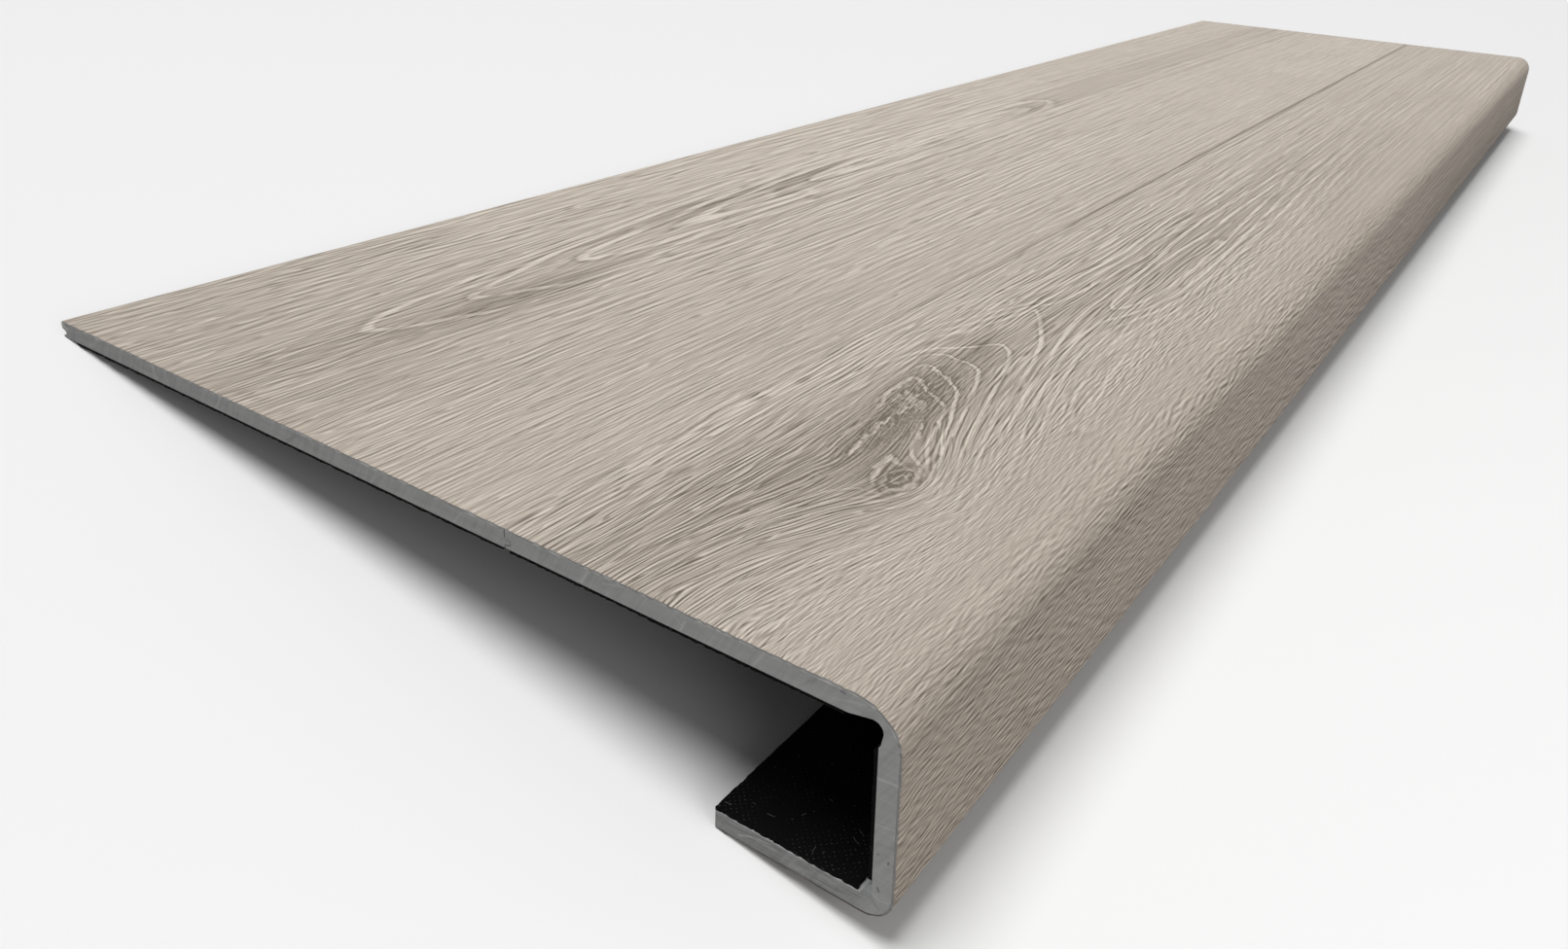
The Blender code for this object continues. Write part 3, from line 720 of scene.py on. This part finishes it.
def film_material():
    """Embossed oak print: fibres and pores over an even tone, growth lines and a knot, with painted
    highlight and shade along the pressed fibres.
    """
    g = Graph(bpy.data.materials.new("oak_film"))
    x, y, _ = g.level()
    keys = ("fibre", "show", "short", "relief", "burr", "slope")
    fibre, show, short, relief, burr, slope = (g.attr(key) for key in keys)
    drift = g.noise((g.times(x, 0.020), g.times(fibre, 0.08), 3.0))
    v = g.gain(drift, 3.0, fibre)

    def grain(along, across, seed, detail=1.0, rough=0.5):
        """Noise drawn out along the fibres, with its waves per millimetre both ways."""
        return g.noise((g.times(x, along), g.times(v, across), seed), 1.0, detail, rough)

    def crease(value, thin, wide):
        """Lines along which a value is a half: 1 on them, softly down to 0 beside them."""
        return g.fade(g.math("ABSOLUTE", g.minus(value, 0.5)), thin, wide)

    # relief pressed into the face: long fibres, and short pores where `short` says; in the colour
    # they are partly the print's lines, partly painted highlight and shade of the embossing
    run = g.math("DIVIDE", -RUN_SCALE, g.plus(x, EYE_DISTANCE))
    coarse = g.math("LOGARITHM", g.times(g.attr("pitch"), FINEST_PER_MM), 2.0)

    def graded(along, fineness, seed, step=0.0):
        """Fibres drawn out along the board, their fineness picked by `pitch` at each place."""
        value = None
        for k, across in enumerate(FIBRES_ACROSS):
            side = g.gain(v, across * fineness, step)
            layer = g.noise((g.times(run, along), side, seed + k), 1.0, 0.0)
            if k:
                layer = g.either(g.math("SUBTRACT", coarse, k - 2.0, clamp=True), value, layer)
            value = layer
        return value

    def pressed(along, fineness, seed):
        """The same fibres less themselves half a wave on: no blotches are left."""
        fibres = graded(along, fineness, seed)
        return g.minus(fibres, graded(along, fineness, seed, 0.5))

    threads = g.either(short, pressed(0.034, 1.05, 7.0), pressed(0.130, 1.15, 31.0))
    seams = graded(0.016, 0.42, 61.0)
    patches = g.span(grain(0.034, 0.40, 17.0), 0.38, 0.54)
    share = g.times(patches, g.span(short, 0.0, 1.0, 1.0, 0.35))
    # dark lines with pale ones just beside them: partly the print's lines, partly painted shade and
    # highlight of the embossing
    dark = g.times(crease(seams, 0.008, 0.040), share)
    pale = g.times(crease(g.plus(seams, 0.05), 0.008, 0.036), share)

    # growth rings, a little jagged
    wobble = g.minus(grain(0.22, 0.60, 23.0, 2.0, 0.6), 0.5)
    sway = g.times(g.times(wobble, g.gain(burr, 4.5, 0.9)), slope)
    sway = g.math("MINIMUM", g.math("MAXIMUM", sway, -SWAY_LIMIT), SWAY_LIMIT)
    ring = g.plus(g.attr("ring"), sway)
    apart = g.math("DIVIDE", g.math("PINGPONG", ring, 0.5), g.times(slope, g.attr("width")))
    broken = g.times(g.span(grain(0.03, 0.6, 57.0), 0.36, 0.52, 0.25, 1.0), show)
    line = g.times(g.fade(apart, 0.45, 1.40), broken)
    flank = g.times(g.fade(apart, 1.30, 2.80), broken)
    late = g.times(g.math("POWER", g.math("FRACT", ring), 3.0), show)

    # curly grain round the knot
    worms = g.noise((g.times(x, 0.42), g.times(v, 0.60), 71.0))
    curl = g.times(g.minus(crease(worms, 0.0, 0.045), crease(worms, 0.06, 0.13)), burr)

    # the knot, ring by ring round its dark eye
    oval = g.vector(g.times(x, KNOT_SQUASH), g.minus(DEPTH, y))
    gap = g.vec("DISTANCE", oval, (KNOT_X * KNOT_SQUASH, KNOT_S, 0.0), out=1)
    gap = g.about(g.noise((x, y, 5.0), 0.45), 3.4, gap)
    swirl = g.gain(g.math("COSINE", g.times(gap, 2.6)), -0.24, -0.22)
    swirl = g.times(swirl, g.fade(gap, 2.4, 8.5))

    # tone
    level = g.about(grain(0.006, 0.17, 11.0, 3.0, 0.55), 0.15, 0.60)
    level = g.about(grain(0.010, 0.03, 19.0, 2.0), 0.14, level)
    level = g.about(grain(0.012, 0.45, 43.0, 2.0, 0.6), 0.05, level)
    # painted highlight and shade of the embossing, with the print's own light and dark lines, as
    # strong as `relief` says
    for part, gain in ((threads, 2.2), (dark, -0.30), (pale, 0.26)):
        level = g.gain(g.times(part, relief), gain, level)
    for part, gain in ((late, -0.08), (flank, -0.15), (line, 0.52), (curl, 0.26)):
        level = g.gain(part, gain, level)
    level = g.plus(level, swirl)
    # `tone` holds the print's darker and paler patches and, on the nose, painted shade along the
    # bend and down the front
    level = g.math("MULTIPLY_ADD", g.attr("tone"), 0.30, level, clamp=True)
    tint = g.add("ShaderNodeValToRGB")
    tint.color_ramp.elements.new(0.5)
    for stop, colour in zip(tint.color_ramp.elements, FILM_COLOURS):
        stop.color = (*colour, 1.0)
    g.plug(tint.inputs[0], level)
    colour = g.mix(g.attr("bend"), tint.outputs[0], BEND_TINT, "MULTIPLY")

    height = g.gain(line, 0.5, g.gain(threads, 0.9, g.minus(pale, dark)))
    rough = g.span(height, -1.0, 1.0, 0.68, 0.54)
    return g.finish(colour, rough, 0.10, height, 0.00013, 1.0)


# Marks on the cut end, as section points (y, z), with their width and how pale or dark they are
END_MARKS = [
    ((5.0, 38.6), (-0.9, 39.4), 0.45, 0.55),
    ((3.6, 26.6), (-1.6, 27.6), 0.40, 0.30),
    ((2.4, 22.0), (-1.9, 22.6), 0.80, -0.16),
    ((38.3, 1.9), (34.6, 3.6), 0.40, 0.60),
    ((34.6, 3.6), (29.0, 4.7), 0.35, 0.45),
    ((3.6, 7.4), (0.8, 6.2), 0.40, 0.55),
    ((0.8, 6.2), (-1.2, 6.6), 0.35, 0.45),
    ((1.6, 9.6), (1.2, 8.6), 0.45, -0.70),
    ((-0.3, 18.1), (-0.2, 17.6), 0.40, -1.0),
    ((2.3, 19.0), (2.4, 18.7), 0.35, -0.8),
    ((4.0, 15.5), (4.1, 14.8), 0.35, -0.7),
    ((85.0, 52.4), (82.4, 56.3), 0.60, 0.40),
    ((78.3, 54.6), (72.3, 56.3), 0.45, 0.28),
    ((55.6, 52.2), (54.4, 54.8), 0.50, 0.36),
    ((55.0, 53.0), (57.2, 55.0), 0.35, 0.24),
    ((261.6, 56.2), (260.9, 52.4), 1.10, 0.30),
    ((254.9, 56.3), (254.6, 52.4), 0.70, 0.22),
    ((298.8, 52.4), (293.0, 56.4), 1.20, 0.20),
    ((314.9, 56.2), (312.0, 55.0), 0.90, 0.85),
    ((312.4, 56.4), (311.6, 56.0), 0.60, -0.9),
    ((230.0, 52.0), (226.0, 56.4), 0.80, 0.20),
    ((196.0, 52.2), (190.0, 56.3), 0.90, -0.16),
    ((160.0, 52.0), (155.5, 56.4), 0.70, 0.18),
    ((128.0, 52.2), (124.5, 56.2), 0.60, 0.22),
    ((14.5, 56.0), (13.6, 55.8), 0.35, -0.9),
    ((16.0, 53.4), (8.6, 55.4), 0.50, 0.22),
    ((36.0, 52.2), (33.5, 56.0), 0.50, 0.20),
    ((24.5, 52.4), (20.5, 55.8), 0.60, -0.14),
]


def core_material(name, colours):
    """Sawn grey core, with the saw's slanting streaks and the scratches on its cut end."""
    g = Graph(bpy.data.materials.new(name))
    x, y, z = g.level()
    fine = g.noise((g.times(x, 1.5), y, z), 2.2, 3.0, 0.6)
    slow = g.noise((g.times(x, 0.05), g.times(y, 0.12), z), 0.6)
    lean = g.plus(y, g.times(z, 0.55))
    cross = g.times(g.minus(z, y), 0.06)
    saw = g.noise((g.times(x, 0.05), lean, cross), 0.75, 4.0, 0.65)
    level = g.about(saw, 0.75, g.about(slow, 0.5, g.about(fine, 0.35, 0.52)))
    level = g.plus(level, g.span(y, 20.0, 300.0, 0.16, -0.24))
    height = g.plus(g.times(fine, 0.4), saw)
    # darker grain in the lower fold, and the marks on the cut end
    grain = g.noise((x, g.times(y, 0.12), g.times(z, 1.6)), 1.0, 3.0, 0.6)
    low = g.times(g.span(z, 6.5, 5.0), g.span(y, 2.0, 8.0))
    level = g.gain(g.times(g.minus(grain, 0.70), low), 1.9, level)
    place = g.vector(y, z)
    near = g.span(x, NEAR_X + 0.05, NEAR_X + 0.2, 1.0, 0.0)
    for start, end, width, gain in END_MARKS:
        drawn = g.times(g.stroke(place, start, end, width), near)
        level = g.gain(drawn, gain, level)
        height = g.gain(drawn, 0.5 * gain, height)
    return g.finish(g.mix(level, *colours), 0.55, 0.35, height, 0.0001, 0.6)


def cut_film_material():
    """Cut edge of the film: grey like the core, and dark brown where it runs round under the lip:
    the film's own brown with painted shade.
    """
    g = Graph(bpy.data.materials.new("cut_film_edge"))
    x, y, z = g.level()
    fine = g.noise((x, y, z), 2.0, 3.0, 0.6)
    # painted shade: the film's brown edge drawn near black along its bottom
    under_lip_shade = g.times(g.span(z, 3.0, 1.2), 0.85)
    colour = g.mix(under_lip_shade, g.mix(fine, *EDGE_COLOURS), EDGE_BROWN_IN_SHADE)
    return g.finish(colour, 0.55, 0.3, fine, 0.0001, 0.5)


def pad_material():
    """Black foam backing, with the fine grid of its scrim showing as tiny grey dots."""
    g = Graph(bpy.data.materials.new("black_pad"))
    x, y, z = g.level()
    weave = g.times(*(g.math("SINE", g.times(way, 3.6)) for way in (x, g.minus(y, z))))
    fluff = g.noise((x, y, z), 1.1, 3.0)
    patch = g.span(g.noise((x, y, z), 0.09), 0.40, 0.62)
    dots = g.times(g.span(weave, 0.80, 0.98), g.times(g.span(fluff, 0.40, 0.65), patch))
    height = g.plus(dots, g.times(fluff, 0.7))
    return g.finish(g.mix(dots, *PAD_COLOURS), 0.96, 0.08, height, 0.0002, 0.8)


def fluff_material():
    g = Graph(bpy.data.materials.new("grey_fluff"))
    tone = g.noise(g.level(), 1.3, 1.0)
    return g.finish(g.mix(tone, *FLUFF_COLOURS), 0.8, 0.2)


# Backing pads with their ragged edges
FRAY_END = 0.55
FRAY_SIDE = 0.35
FRAY_SPACING = 0.7
FULL_TURN = 6.3
PAD_SAG = 0.14
PAD_LONGEST = 14.0


def uneven(count, seed, depth, step):
    """An uneven edge: small waves with a few teeth, from 0 to the given depth."""
    dice = np.random.default_rng(seed)
    places = np.arange(count) * step
    waves = sum(dice.random() * np.sin(places / span + dice.random() * FULL_TURN)
                for span in (0.5, 1.3, 4.1, 11.0))
    waves = (waves - waves.min()) / (np.ptp(waves) + 1e-9)
    teeth = (dice.random(count) > 0.88) * dice.random(count)
    return depth * np.clip(0.55 * waves + 0.25 * dice.random(count) + 0.6 * teeth, 0, 1)


def pad_shell(name, start, end, out, seed, step):
    """A pad on the line from `start` to `end`, as thick as its stock, with ragged edges."""
    length = math.hypot(end[0] - start[0], end[1] - start[1])
    rows = int(length / step) + 1
    share = np.linspace(0.0, 1.0, rows)
    places = [0.0]
    while places[-1] < LENGTH:
        places.append(places[-1] + min(0.5 + 0.05 * places[-1], PAD_LONGEST))
    xs = np.array(places) * LENGTH / places[-1] + NEAR_X
    columns = len(xs)
    cut = uneven(rows, seed, FRAY_END, length / rows)
    side_a = uneven(columns, seed + 1, FRAY_SIDE, FRAY_SPACING) / length
    side_b = uneven(columns, seed + 2, FRAY_SIDE, FRAY_SPACING) / length
    along = xs[:, None] + cut[None, :] * np.exp(-(xs[:, None] - NEAR_X) / 2.0)
    across = side_a[:, None] + share[None, :] * (1.0 - side_a - side_b)[:, None]
    dice = np.random.default_rng(seed + 3)
    sheets = []
    for level in (0.0, 1.0):
        sag = level * (PAD_BACK - PAD_TOP) * (1.0 - PAD_SAG * dice.random((columns, rows)))
        y = start[0] + (end[0] - start[0]) * across + out[0] * sag
        z = start[1] + (end[1] - start[1]) * across + out[1] * sag
        sheets.append(np.stack([along, y, z], axis=2).reshape(-1, 3))
    count = columns * rows
    faces = []
    for i in range(columns - 1):
        for j in range(rows - 1):
            a = i * rows + j
            faces.append((a, a + rows, a + rows + 1, a + 1))
            faces.append((count + a, count + a + 1, count + a + rows + 1, count + a + rows))
    rim = list(range(rows)) + [i * rows + rows - 1 for i in range(1, columns)]
    rim += [(columns - 1) * rows + j for j in range(rows - 2, -1, -1)]
    rim += [i * rows for i in range(columns - 2, 0, -1)]
    for a, b in zip(rim, rim[1:] + rim[:1]):
        faces.append((a, b, count + b, count + a))
    mesh = bpy.data.meshes.new(name)
    mesh.from_pydata(world(np.vstack(sheets)).tolist(), [], faces)
    shape = bmesh.new()
    shape.from_mesh(mesh)
    bmesh.ops.recalc_face_normals(shape, faces=shape.faces)
    shape.to_mesh(mesh)
    shape.free()
    return add_object(name, mesh)


# Lint on the lip's pad
HAIRS = 18
HAIR_SEED = 3
HAIR_STEPS = 5
HAIR_RADIUS = 0.00003


def lint():
    """Short hairs of lint lying on the lip's pad, near the cut end."""
    dice = np.random.default_rng(HAIR_SEED)
    curve = bpy.data.curves.new("lip_pad_lint", "CURVE")
    curve.dimensions = "3D"
    curve.bevel_depth = HAIR_RADIUS
    curve.bevel_resolution = 1
    curve.use_fill_caps = True
    for _ in range(HAIRS):
        x = NEAR_X + 3.0 + 34.0 * dice.random() ** 1.5
        y = 10.0 + 33.0 * dice.random()
        angle = dice.random() * FULL_TURN
        bend = (dice.random() - 0.5) * 1.4
        step = (0.4 + 2.0 * dice.random() ** 3) / HAIR_STEPS
        trail = []
        for k in range(HAIR_STEPS + 1):
            turn = angle + bend * k / HAIR_STEPS
            x, y = x + step * math.cos(turn), y + step * math.sin(turn)
            trail.append((max(x, NEAR_X + 1.0), y, PAD_BACK + 0.05))
        spline = curve.splines.new("POLY")
        spline.points.add(len(trail) - 1)
        for point, spot in zip(spline.points, world(np.array(trail))):
            point.co = (*spot, 1.0)
    return add_object("lip_pad_lint", curve)


# Build
film = film_material()
core = core_material("sawn_core", CORE_COLOURS)
cut_film = cut_film_material()
glue = core_material("cured_glue", GLUE_COLOURS)
pad = pad_material()

rear_outer, rear_inner = rear_rows()
rear_s = DEPTH - np.array(rear_outer)[:, 0]
rear_fields = plank_fields(REAR_RINGS, REAR_FIBRES, *REAR_SPAN, rear_looks)
rear_film = film_shell("rear_plank_oak_film", rear_outer, rear_inner, rear_s, rear_fields)
nosing_outer, nosing_inner = nosing_rows(0.0), nosing_rows(FILM)
nosing_s = developed(nosing_outer, DEPTH - nosing_outer[0][0])
nosing_fields = plank_fields(NOSING_RINGS, NOSING_FIBRES, *NOSING_SPAN, nosing_looks)
nosing_film = film_shell("nosing_oak_film", nosing_outer, nosing_inner, nosing_s, nosing_fields)

for piece, node in ((rear_film, "rear_plank_film"), (nosing_film, "nosing_film")):
    piece.data.materials.append(film)
    piece.data.materials.append(cut_film)
    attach(piece, "root")
    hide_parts(node)

slab_back = HEIGHT - PAD_TOP
seam_side = SEAM_GAP / 2 + PAD_SETBACK
front_top = RELIEF_LEDGE_Z - PAD_SETBACK
front_foot = CORE_BACK + (BEAD_RISE + PAD_SETBACK) * UP_FRONT[1]
lip_front = front_y(CORE_BACK, CORE_BACK) + BEAD_RUN + PAD_SETBACK
down, up = (0.0, -1.0), (0.0, 1.0)
# Each pad's line in the section, the way out of its core, its seed and its step
pads = {
    "rear_plank_pad": ((SEAM + seam_side, slab_back), (DEPTH - PAD_REAR_SETBACK, slab_back),
                       down, 11, 0.9),
    "nosing_top_pad": ((RELIEF_END_Y + PAD_SETBACK, slab_back), (SEAM - seam_side, slab_back),
                       down, 23, 0.7),
    "nosing_front_pad": ((front_y(front_top, PAD_TOP), front_top),
                         (front_y(front_foot, PAD_TOP), front_foot), INWARD, 37, 0.6),
    "nosing_lip_pad": ((lip_front, PAD_TOP), (LIP_END + PAD_OVERHANG, PAD_TOP), up, 41, 0.6),
}
for node, (start, end, out, seed, step) in pads.items():
    piece = pad_shell(node.replace("pad", "foam_pad"), start, end, out, seed, step)
    piece.data.materials.append(pad)
    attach(piece, "root")
    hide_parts(node)

hairs = lint()
hairs.data.materials.append(fluff_material())
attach(hairs, "root")

for name, material in (("rear_plank_core", core), ("nosing_core", core), ("fold_glue_bead", glue)):
    for slot in frame["nodes"][name].material_slots:
        slot.material = material

# Floor and sky: pale to the eye, but darker to the light that they throw back on the tread
FLOOR_REACH = 12.0
FLOOR_LIT = (0.27, 0.27, 0.27)
FLOOR_SEEN = (0.88, 0.88, 0.88)
SKY_LIT = 0.19
SKY_SEEN = 0.90

floor_mesh = bpy.data.meshes.new("floor")
corners = [(i * FLOOR_REACH, j * FLOOR_REACH, 0) for i, j in ((-1, -1), (1, -1), (1, 1), (-1, 1))]
floor_mesh.from_pydata(corners, [], [(0, 1, 2, 3)])
floor = add_object("floor", floor_mesh)
g = Graph(bpy.data.materials.new("pale_floor"))
floor_mesh.materials.append(g.finish(g.mix(g.seen(), FLOOR_LIT, FLOOR_SEEN), 0.9, 0.0))

sky = bpy.data.worlds.new("soft_studio")
bpy.context.scene.world = sky
g = Graph(sky)
back = g.add("ShaderNodeBackground")
strength = g.span(g.seen(), 0.0, 1.0, SKY_LIT, SKY_SEEN)
glow = g.fill(back, ((1.0, 1.0, 1.0), strength))
g.plug(g.add("ShaderNodeOutputWorld").inputs["Surface"], glow)


# Lamps and camera
def lamp(name, kind, power, facing, axis="Z", **settings):
    """A lamp whose `axis` points along `facing`; its light goes along its -Z."""
    data = bpy.data.lights.new(name, kind)
    data.energy = power
    for key, value in settings.items():
        setattr(data, key, value)
    piece = add_object(name, data)
    piece.rotation_euler = Vector(facing).to_track_quat(axis, "Y").to_euler()
    return piece


FILL_PLACE = Vector((-0.98, -1.22, 0.60))
FILL_TARGET = Vector((-0.60, -0.15, 0.03))
# Fitted to the outlines in the photo, in the frame of the level tread
LENS = 26.616
CAMERA_PLACE = (-0.75925, -0.07502, 0.20291)
CAMERA_TURN = (61.514, -2.586, -55.006)

lamp("soft_key", "SUN", 2.49, Vector((-0.18, 0.30, 0.935)).normalized(), angle=math.radians(30))
lamp("soft_front", "SUN", 0.10, (0.35, -0.80, 0.50), angle=math.radians(60))
fill = lamp("near_fill", "AREA", 4.3, FILL_TARGET - FILL_PLACE, "-Z", shape="DISK", size=0.9)
fill.location = FILL_PLACE

camera_data = bpy.data.cameras.new("camera")
camera_data.lens = LENS
camera_data.sensor_width = 36.0
camera_data.sensor_fit = "HORIZONTAL"
camera_data.clip_start = 0.01
camera_data.clip_end = 100.0
camera = add_object("camera", camera_data)
turn = Euler([math.radians(a) for a in CAMERA_TURN], "XYZ").to_matrix().to_4x4()
camera.matrix_world = LEAN @ Matrix.Translation(CAMERA_PLACE) @ turn
bpy.context.scene.camera = camera
bpy.context.scene.view_settings.view_transform = "Standard"

bpy.context.view_layer.update()
